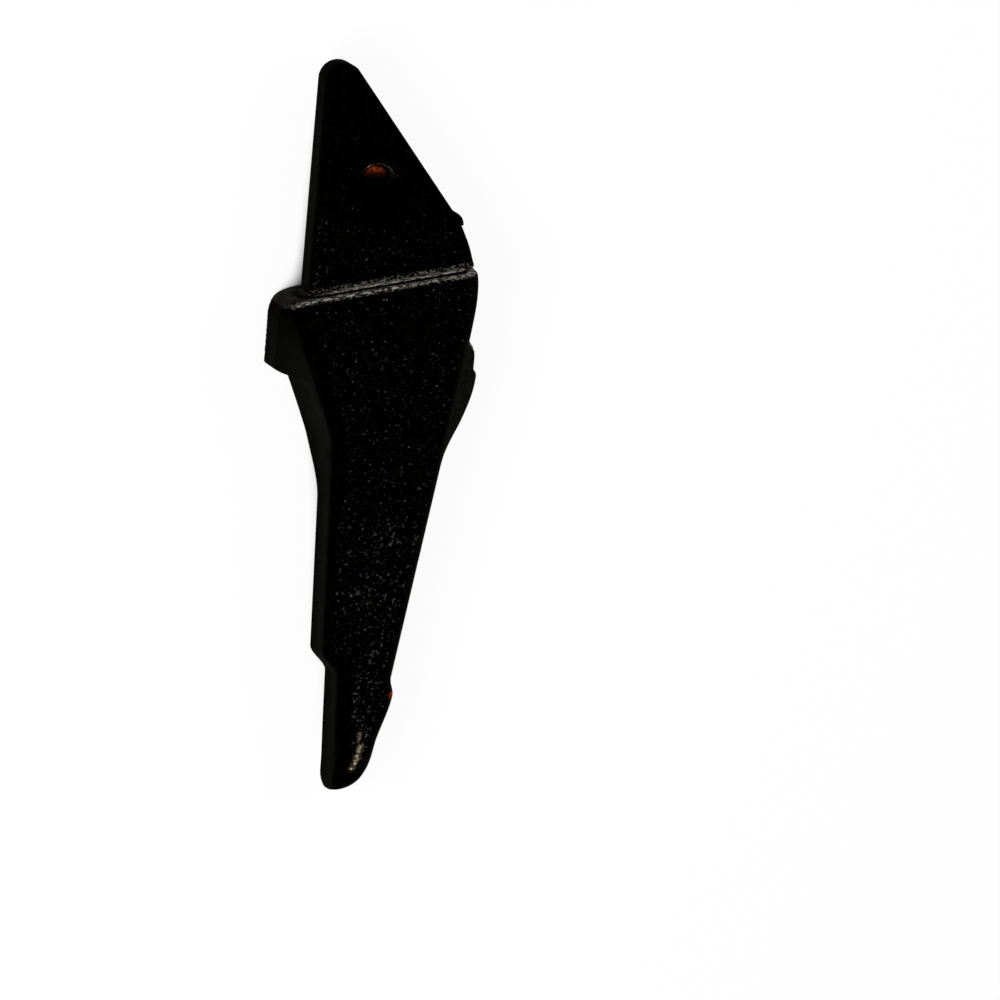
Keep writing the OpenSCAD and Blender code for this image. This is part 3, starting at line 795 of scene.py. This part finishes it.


# The faces picked here get the ledge's finish, whose grey is a painted highlight where the ledge faces
# up.
def paint_ledge(thing, low, high):
    """Gives the second material to the faces that look up along the ledge's normal, near its plane."""
    mesh = thing.data
    normal = np.empty(len(mesh.polygons) * 3, np.float32)
    centre = np.empty_like(normal)
    mesh.polygons.foreach_get("normal", normal)
    mesh.polygons.foreach_get("center", centre)
    normal, centre = normal.reshape(-1, 3), centre.reshape(-1, 3) / MM
    tilt = math.atan(LEDGE_SLOPE)
    facing = normal @ np.array([-math.sin(tilt), math.cos(tilt), 0.0])
    above = centre[:, 1] - ledge_height(centre[:, 0])
    chosen = (facing > 0.6) & (above > low) & (above < high)
    mesh.polygons.foreach_set("material_index", chosen.astype(np.int32))
    print(thing.name, "ledge faces:", int(chosen.sum()))

# %% [markdown]
# ## Finishes
# Each finish is a small network of nodes over a Principled shader. Patterns are read on the Object
# coordinates, so one unit is one metre, and the scale of a noise is one over the width of its grain.
# Values that are the same all over a surface are set on the shader itself. One small function adds
# every node: it sets the node's properties and feeds its inputs, in their order or by name.

# %% Node helpers
def linear(hex_colour):
    """Linear values of a colour written as on a paint card: ((c + 0.055) / 1.055) to the power 2.4,
    or c / 12.92 where it is very dark."""
    parts = [int(hex_colour[i:i + 2], 16) / 255 for i in (1, 3, 5)]
    return (*[c / 12.92 if c <= 0.04045 else ((c + 0.055) / 1.055) ** 2.4 for c in parts], 1.0)


def add(tree, kind, inputs=(), output=0, **settings):
    """Adds a node, sets its properties and feeds its inputs: a socket is linked, a value is set.
    Inputs go in order or by identifier. Returns one of the node's outputs, the first by default."""
    made = tree.nodes.new("ShaderNode" + kind)
    for key, value in settings.items():
        setattr(made, key, value)
    by_name = isinstance(inputs, dict)
    sockets = {socket.identifier: socket for socket in made.inputs} if by_name else made.inputs
    for key, value in (inputs.items() if by_name else enumerate(inputs)):
        if isinstance(value, bpy.types.NodeSocket):
            tree.links.new(value, sockets[key])
        else:
            sockets[key].default_value = value
    outputs = {socket.identifier: socket for socket in made.outputs}
    return outputs[output] if output else made.outputs[0]


def product(tree, *values):
    """All the values multiplied together."""
    total = values[0]
    for value in values[1:]:
        total = add(tree, "Math", [total, value], operation="MULTIPLY")
    return total


def coats(tree, ground, *layers):
    """Coats of colour over a ground. Each layer is a share and a colour: where the share is 0 the
    coats below show, and where it is 1 its own colour does."""
    for share, colour in layers:
        ground = add(tree, "Mix", {"Factor_Float": share, "A_Color": ground, "B_Color": colour},
                     "Result_Color", data_type="RGBA")
    return ground


def finish_of(name, roughness, metallic=0.0, specular=0.5, ior=1.5):
    """A material with a Principled shader; returns the material, its tree, the shader and the place."""
    made = bpy.data.materials.new(name)
    made.use_nodes = True
    tree = made.node_tree
    shader = tree.nodes["Principled BSDF"]
    shader.inputs["Roughness"].default_value = roughness
    shader.inputs["Metallic"].default_value = metallic
    shader.inputs["Specular IOR Level"].default_value = specular
    shader.inputs["IOR"].default_value = ior
    return made, tree, shader, add(tree, "TexCoord", output="Object")


def per_grain(width):
    """Scale of a pattern whose grains have this width in millimetres: grains in one metre."""
    return 1000.0 / width


print("bare steel in linear light:", [round(c, 3) for c in linear("#a19785")])

# %% [markdown]
# ## Black paint on sand-cast steel
# The castings are dipped in thin black paint. The rough skin of the sand mould shows through it, and
# the grains that stand out are brightened as painted glints, where they would catch the light. A
# Voronoi pattern gives each grain a cell of its own: the cell's distance makes a dot, and its random
# colour says whether the dot is bright.

# %% Sand grains under the paint
GRAIN = 1.15                    # width of a grain; the mould's finer sand is too fine to show
DOT_R, DOT_CORE = 0.42, 0.3     # reach of a dot in its cell, and the share of it that is full


# The dots and specks below are painted glints on the sand grains.
def grain_dots(tree, place, density):
    """Dots in some cells: a dot where the distance is small, kept where a random value beats
    1 - density. A second random value, to a high power, makes most dots dim and a few bright."""
    cells = add(tree, "TexVoronoi", {"Vector": place, "Scale": per_grain(GRAIN)}).node.outputs
    chance = add(tree, "SeparateColor", [cells["Color"]]).node.outputs
    dot = add(tree, "MapRange", [cells["Distance"], DOT_R, DOT_R * DOT_CORE])
    limit = add(tree, "Math", [1.0, density], operation="SUBTRACT")
    kept = add(tree, "Math", [chance[0], limit], operation="GREATER_THAN")
    bright = add(tree, "Math", [chance[1], 5.0], operation="POWER")
    return product(tree, dot, kept, add(tree, "Math", [bright, 0.05], operation="ADD"))


def grain_specks(tree, place, density):
    """Irregular specks: the part of a noise above a level that sinks as the density grows, made
    brighter and darker by a noise twice as wide."""
    body = add(tree, "TexNoise", {"Vector": place, "Scale": per_grain(GRAIN), "Detail": 1.0})
    wide = add(tree, "TexNoise", {"Vector": place, "Scale": per_grain(GRAIN * 2.0), "Detail": 1.0})
    level = add(tree, "MapRange", [density, 0.0, 1.0, 0.67, 0.50])
    above = add(tree, "Math", [body, level], operation="SUBTRACT")
    shade = add(tree, "MapRange", [wide, 0.36, 0.68, 0.06, 1.0])
    lit = add(tree, "Math", [product(tree, above, 3.0), shade], operation="MULTIPLY", use_clamp=True)
    return product(tree, add(tree, "Math", [lit, 1.5], operation="POWER"), 1.3)


print("sand grains", GRAIN, "mm wide, scale", round(per_grain(GRAIN)))

# %% [markdown]
# ## Painted highlight along the ledge
# A thin grey strip of painted highlight, broken into grains, runs where the two castings meet. The
# strip follows the ledge's line, so its share is worked out from the place: the distance above the
# line, and which face it lies on.

# %% The strip of painted highlight
def ledge_highlight_strip(tree, place):
    """Share of painted highlight: a band beside the line y = slope * x - ledge, on the lug's face and
    the point's front, off both flanks, thinner to the left, and broken up by a noise."""
    x, y, z = add(tree, "SeparateXYZ", [place]).node.outputs
    line = add(tree, "Math", [product(tree, x, LEDGE_SLOPE), LEDGE * MM], operation="SUBTRACT")
    above = add(tree, "Math", [y, line], operation="SUBTRACT")
    band = add(tree, "Math", [add(tree, "MapRange", [above, -1.3 * MM, -0.4 * MM]),
                              add(tree, "MapRange", [above, 2.4 * MM, 1.0 * MM])], operation="MINIMUM")
    faces = add(tree, "Math", [add(tree, "MapRange", [z, 6.7 * MM, 6.3 * MM]),
                               add(tree, "MapRange", [z, 14.5 * MM, 15.5 * MM])], operation="MAXIMUM")
    off_side = add(tree, "MapRange", [z, 5.0 * MM, 5.8 * MM])
    off_right = add(tree, "MapRange", [x, 35.5 * MM, 34.0 * MM])
    thinner = add(tree, "MapRange", [x, -34.0 * MM, -12.0 * MM])
    patches = add(tree, "TexNoise", {"Vector": place, "Scale": per_grain(1.2), "Roughness": 0.6})
    return product(tree, band, faces, off_side, off_right, thinner,
                   add(tree, "MapRange", [patches, 0.47, 0.66]))


# The strip of painted highlight reaches from 0.4 mm below the ledge's line to 1 mm above it.
print("dust from 0.4 mm below the ledge's line to 1 mm above it")

# %% [markdown]
# ## The paint and the ledge's raw edge
# Every coat of the paint has its share: the grey painted sheen of the sides, the grains' painted
# glints, the painted highlight along the ledge, the painted highlights at the tip and on the pocket's
# rim, and rust, each over the last. The grains are shinier than the paint, and the skin of the sand
# mould gives a small relief. The ledge is raw cast steel with brown dust behind; its grey near the
# front is a painted highlight.

# %% The paint and the ledge
def painted_casting():
    """Near-black paint: a grey painted sheen on the sides, painted glints on the front's grains,
    painted highlights where the bare mark is set, and rust as marked.
    """
    made, tree, shader, place = finish_of("black paint on sand-cast steel", 0.55, ior=1.02)
    marks = {name: add(tree, "Attribute", output="Fac", attribute_name=name)
             for name in ("side", "grain", "bare", "rust")}
    patterns = {}
    for name, width, detail in (("tone", 3.0, 3.0), ("wide", 9.0, 3.0), ("mottle", 1.6, 2.0),
                                ("clumps", 7.0, 2.0), ("fine", 0.9, 2.0), ("skin", 3.5, 2.0)):
        patterns[name] = add(tree, "TexNoise", {"Vector": place, "Scale": per_grain(width),
                                                "Detail": detail})
    black = coats(tree, linear("#000000"),
                  (add(tree, "MapRange", [patterns["tone"], 0.45, 0.7]), linear("#020201")))
    # The grey is a painted sheen for the sides, with a slow variation of tone.
    grey = coats(tree, linear("#0f0f0d"),
                 (add(tree, "MapRange", [patterns["wide"], 0.3, 0.7]), linear("#171612")))
    rust = coats(tree, linear("#3c1206"),
                 (add(tree, "MapRange", [patterns["tone"], 0.35, 0.65]), linear("#a8431c")))

    # The side mark, broken up by a mottle, lays on the grey painted sheen.
    mottled = product(tree, add(tree, "MapRange", [marks["side"], 0.5, 0.9, 0.0, 0.55]),
                      add(tree, "MapRange", [patterns["mottle"], 0.42, 0.6]))
    painted_side_sheen = add(tree, "Math", [marks["side"], mottled], operation="SUBTRACT")
    # Where the grain mark is set, grains get painted glints: specks and dots, in clumps.
    clumps = add(tree, "MapRange", [patterns["clumps"], 0.35, 0.6, 0.5, 1.0])
    density = product(tree, marks["grain"], clumps)
    dots = grain_dots(tree, place, product(tree, density, 0.16))
    glint_specks = add(tree, "Math", [grain_specks(tree, place, density), dots], operation="MAXIMUM")
    shine = add(tree, "MapRange", [marks["grain"], 0.02, 0.3])
    grains = add(tree, "Math", [glint_specks, shine], operation="MULTIPLY", use_clamp=True)
    # The bare mark gives a cream painted highlight on the point's tip and on the pocket's rim.
    rubbed = product(tree, marks["bare"],
                     add(tree, "MapRange", [patterns["fine"], 0.42, 0.58, 0.05, 1.0]))
    rusted = product(tree, marks["rust"],
                     add(tree, "MapRange", [patterns["fine"], 0.35, 0.6, 0.25, 1.0]))

    # Over the black: the sides' painted sheen, the grains' painted glints, the ledge's strip of painted
    # highlight, the bare mark's painted highlight, and rust.
    colour = coats(tree, black, (painted_side_sheen, grey), (grains, linear("#514f49")),
                   (ledge_highlight_strip(tree, place), linear("#78746b")),
                   (rubbed, linear("#d8c4a4")), (rusted, rust))
    swells = product(tree, patterns["skin"], 1.5)
    relief = add(tree, "Math", [patterns["fine"], swells], operation="ADD")
    tree.links.new(colour, shader.inputs["Base Color"])
    tree.links.new(add(tree, "MapRange", [grains, 0.0, 0.6, 0.6, 0.35]), shader.inputs["Roughness"])
    normal = add(tree, "Bump", {"Height": relief, "Distance": 0.12 * MM})
    tree.links.new(normal, shader.inputs["Normal"])
    return made


def ledge_highlight_finish():
    """The ledge's raw edge: grey grains with dark gaps near the front, which are a painted highlight
    where the ledge faces up, and brown dust and rust dots behind them and at the left end."""
    made, tree, shader, place = finish_of("rubbed edge of cast steel", 0.5, ior=1.03)
    grains = add(tree, "TexNoise", {"Vector": place, "Scale": per_grain(0.8), "Roughness": 0.6})
    spots = add(tree, "TexNoise", {"Vector": place, "Scale": per_grain(2.2)})
    gaps = add(tree, "TexNoise", {"Vector": place, "Scale": per_grain(1.9), "Detail": 1.0})
    x, _, z = add(tree, "SeparateXYZ", [place]).node.outputs
    set_back = product(tree, add(tree, "MapRange", [x, -30 * MM, -14 * MM, 6.5 * MM, 0.0]),
                       add(tree, "MapRange", [x, -37 * MM, -30 * MM, 0.3, 1.0]))
    from_back = add(tree, "Math", [z, set_back], operation="SUBTRACT")
    # The painted highlight: full near the front of the ledge, fading towards the back and at the left
    # end.
    rubbed = product(tree, add(tree, "MapRange", [from_back, 5 * MM, 11 * MM, 0.012, 1.0]),
                     add(tree, "MapRange", [x, -38.5 * MM, -36.5 * MM, 0.3, 1.0]))
    light = product(tree, add(tree, "MapRange", [grains, 0.38, 0.60, 0.25, 1.0]),
                    add(tree, "MapRange", [gaps, 0.43, 0.57, 0.10, 1.0]),
                    add(tree, "MapRange", [spots, 0.3, 0.62, 0.45, 1.5]), rubbed)
    brown = coats(tree, linear("#060402"),
                  (add(tree, "MapRange", [grains, 0.35, 0.6]), linear("#36261a")))
    dusty = product(tree, add(tree, "MapRange", [spots, 0.53, 0.63, 0.0, 0.8]),
                    add(tree, "Math", [1.0, rubbed], operation="SUBTRACT"))
    colour = coats(tree, linear("#020202"), (light, linear("#a5a197")), (dusty, brown))
    tree.links.new(colour, shader.inputs["Base Color"])
    normal = add(tree, "Bump", {"Height": grains, "Distance": 0.25 * MM})
    tree.links.new(normal, shader.inputs["Normal"])
    return made


paint, ledge = painted_casting(), ledge_highlight_finish()
for thing in (tooth, adapter):
    thing.data.materials.clear()
    thing.data.materials.append(paint)
    thing.data.materials.append(ledge)
# The up-facing ledge faces take the second material and its painted highlight.
paint_ledge(tooth, -2.2, 0.5)
paint_ledge(adapter, 0.4, 1.2)

# %% [markdown]
# ## The small parts of the lock
# The pin is phosphated steel, which is dark grey with a fine crystal grain. The washer is plain turned
# steel, the cushion is amber polyurethane, and the rings and the plug are black nitrile rubber.
# The real crystals and turning marks are too fine to show, so both are drawn coarser.

# %% Finishes of the small parts
CRYSTAL = 0.3                   # width of a crystal
RING_SCALE = 1200.0             # a turning mark every 0.26 mm


def phosphated_steel():
    """Dark grey crystals of a phosphate coat, slightly shinier where they are rubbed."""
    made, tree, shader, place = finish_of("phosphated steel", 0.5, metallic=0.6)
    crystal = add(tree, "TexNoise", {"Vector": place, "Scale": per_grain(CRYSTAL), "Detail": 3.0})
    worn = add(tree, "TexNoise", {"Vector": place, "Scale": per_grain(2.5)})
    colour = coats(tree, linear("#3a3b3c"),
                   (add(tree, "MapRange", [crystal, 0.35, 0.65]), linear("#5c5d5f")))
    tree.links.new(colour, shader.inputs["Base Color"])
    tree.links.new(add(tree, "MapRange", [worn, 0.3, 0.7, 0.38, 0.6]), shader.inputs["Roughness"])
    normal = add(tree, "Bump", {"Height": crystal, "Distance": 0.02 * MM})
    tree.links.new(normal, shader.inputs["Normal"])
    return made


def turned_steel():
    """Bright washer steel with fine turning marks round the pin's axis."""
    made, tree, shader, place = finish_of("turned steel", 0.3, metallic=1.0)
    centred = add(tree, "Mapping", {"Vector": place, "Location": (0, PIN_DEPTH * MM, 0)})
    rings = add(tree, "TexWave", {"Vector": centred, "Scale": RING_SCALE, "Distortion": 1.0}, "Fac",
                wave_type="RINGS", rings_direction="X")
    tone = add(tree, "TexNoise", {"Vector": place, "Scale": per_grain(1.5)})
    colour = coats(tree, linear("#8f8f8e"), (tone, linear("#b6b5b2")))
    tree.links.new(colour, shader.inputs["Base Color"])
    normal = add(tree, "Bump", {"Height": rings, "Distance": 0.01 * MM})
    tree.links.new(normal, shader.inputs["Normal"])
    return made


def moulded(name, dark, light, roughness, grain_width):
    """A moulded elastomer: two close tones and a fine satin relief."""
    made, tree, shader, place = finish_of(name, roughness)
    tone = add(tree, "TexNoise", {"Vector": place, "Scale": per_grain(2.0), "Detail": 3.0})
    grain = add(tree, "TexNoise", {"Vector": place, "Scale": per_grain(grain_width)})
    satin = add(tree, "MapRange", [tone, 0.3, 0.7, roughness - 0.08, roughness + 0.08])
    tree.links.new(coats(tree, linear(dark), (tone, linear(light))), shader.inputs["Base Color"])
    tree.links.new(satin, shader.inputs["Roughness"])
    normal = add(tree, "Bump", {"Height": grain, "Distance": 0.03 * MM})
    tree.links.new(normal, shader.inputs["Normal"])
    return made


def dress(node_name, made):
    """Puts a material in every slot of a CAD node."""
    for thing in bpy.data.objects:
        if thing.type == "MESH" and thing.get("node", thing.name) == node_name:
            if not thing.material_slots:
                thing.data.materials.append(made)
            for slot in thing.material_slots:
                slot.material = made
            return thing
    raise SystemExit(f"no object for {node_name}")


rubber = moulded("black nitrile rubber", "#070707", "#0d0d0d", 0.6, 0.5)
dress("lock_pin", phosphated_steel())
dress("thrust_washer", turned_steel())
dress("pin_cushion", moulded("amber polyurethane", "#9a5a12", "#b8741e", 0.4, 0.8))
dress("left_seal_ring", rubber)
dress("right_seal_ring", rubber)
plug.data.materials.append(rubber)
print("materials:", sorted(m.name for m in bpy.data.materials))

# %% [markdown]
# ## What each piece stands for
# The three new pieces take the place of three nodes of the model and move with the same bodies.

# %% Tie the pieces to the model
for thing, node_name, body in ((tooth, "tooth_point", "tooth"), (adapter, "adapter", "tooth"),
                               (plug, "socket_plug", "plug")):
    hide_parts(node_name)
    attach(thing, body)
print("pieces:", tooth.name, adapter.name, plug.name)

# %% [markdown]
# ## Studio
# A pale floor lies under the tooth, with one large soft lamp on the left, a weaker one on the right and
# an even grey sky. The floor glows white where nothing stands near it, so only the ground close to the
# tooth is shaded. Behind the lug's bore a disc of the floor is painted dark: a painted shadow of the
# lug.

# %% The floor
FLOOR_Z, FLOOR_HALF = -17.1 * MM, 3.0       # the floor is 6 metres wide
BORE_VIEW = (5.2 * MM, -3.2 * MM, FLOOR_Z)  # the floor that shows through the lug's bore
BORE_DARK, BORE_PALE = 8.5 * MM, 19.0 * MM  # painted shadow: dark up to one radius, and pale from the other
SHADE_REACH = 60.0 * MM                     # the floor darkens this near to the tooth
GLOW_SHARE = 0.92                           # share of the floor's glow where the camera sees it


def seen_directly(tree):
    """1 for what the camera, a mirror or a glass sees, 0 for light that falls on the object."""
    path = add(tree, "LightPath").node.outputs
    mirrored = add(tree, "Math", [path["Is Glossy Ray"], path["Is Transmission Ray"]],
                   operation="MAXIMUM")
    return add(tree, "Math", [path["Is Camera Ray"], mirrored], operation="MAXIMUM")


floor_mesh = bpy.data.meshes.new("floor")
square = [(FLOOR_HALF * x, FLOOR_HALF * y, FLOOR_Z) for x, y in ((-1, -1), (1, -1), (1, 1), (-1, 1))]
floor_mesh.from_pydata(square, [], [(0, 1, 2, 3)])
floor = bpy.data.objects.new("floor", floor_mesh)
bpy.context.scene.collection.objects.link(floor)

pale, tree, shader, place = finish_of("pale floor", 0.9, specular=0.0)
nearby = add(tree, "AmbientOcclusion", {"Distance": SHADE_REACH}, "AO", samples=24)
# A disc of painted shadow on the floor, behind the lug's bore.
from_bore = add(tree, "VectorMath", [place, BORE_VIEW], "Value", operation="DISTANCE")
beside_bore = add(tree, "MapRange", [from_bore, BORE_DARK, BORE_PALE])
open_sky = product(tree, add(tree, "MapRange", [nearby, 0.22, 0.40]), beside_bore)
glow = add(tree, "Emission", {"Color": (1, 1, 1, 1), "Strength": open_sky})
tree.links.new(coats(tree, (0.01, 0.01, 0.01, 1), (beside_bore, (0.9, 0.9, 0.9, 1))),
               shader.inputs["Base Color"])
share = product(tree, seen_directly(tree), GLOW_SHARE)
mixed = add(tree, "MixShader", [share, shader.outputs[0], glow])
tree.links.new(mixed, tree.nodes["Material Output"].inputs["Surface"])
floor.data.materials.append(pale)
print(f"floor at {FLOOR_Z / MM:.1f} mm")

# %% [markdown]
# ## Lamps and sky
# Both lamps are square and soft, and stand nearly a metre off, so the shadows have no hard edge. The
# sky gives a weak even light, but is white where it is seen, so the picture's ground is white.

# %% Lamps and sky
SKY_LIGHT, SKY_SEEN = 0.4, 1.0
AIM = (0, -0.08, 0)             # the lamps face the middle of the tooth


def lamp(name, place, aim, size, power):
    """A square soft lamp that faces its aim; place and aim are in metres."""
    data = bpy.data.lights.new(name, "AREA")
    data.shape, data.size, data.energy = "SQUARE", size, power
    thing = bpy.data.objects.new(name, data)
    bpy.context.scene.collection.objects.link(thing)
    thing.location = place
    thing.rotation_mode = "QUATERNION"
    thing.rotation_quaternion = (Vector(aim) - Vector(place)).to_track_quat("-Z", "Y")


lamp("key", (-0.75, -0.25, 0.95), AIM, 0.7, 12.0)
lamp("fill", (0.9, 0.5, 0.9), AIM, 0.9, 6.0)

world = bpy.data.worlds.new("sky")
bpy.context.scene.world = world
world.use_nodes = True
tree = world.node_tree
tree.nodes["Background"].inputs["Color"].default_value = (1, 1, 1, 1)
strength = add(tree, "MapRange", [seen_directly(tree), 0.0, 1.0, SKY_LIGHT, SKY_SEEN])
tree.links.new(strength, tree.nodes["Background"].inputs["Strength"])
bpy.context.scene.view_settings.view_transform = "Standard"
print("two lamps and a sky of", SKY_LIGHT)

# %% [markdown]
# ## Finish

# %% The end
print("the dressed scene is ready")
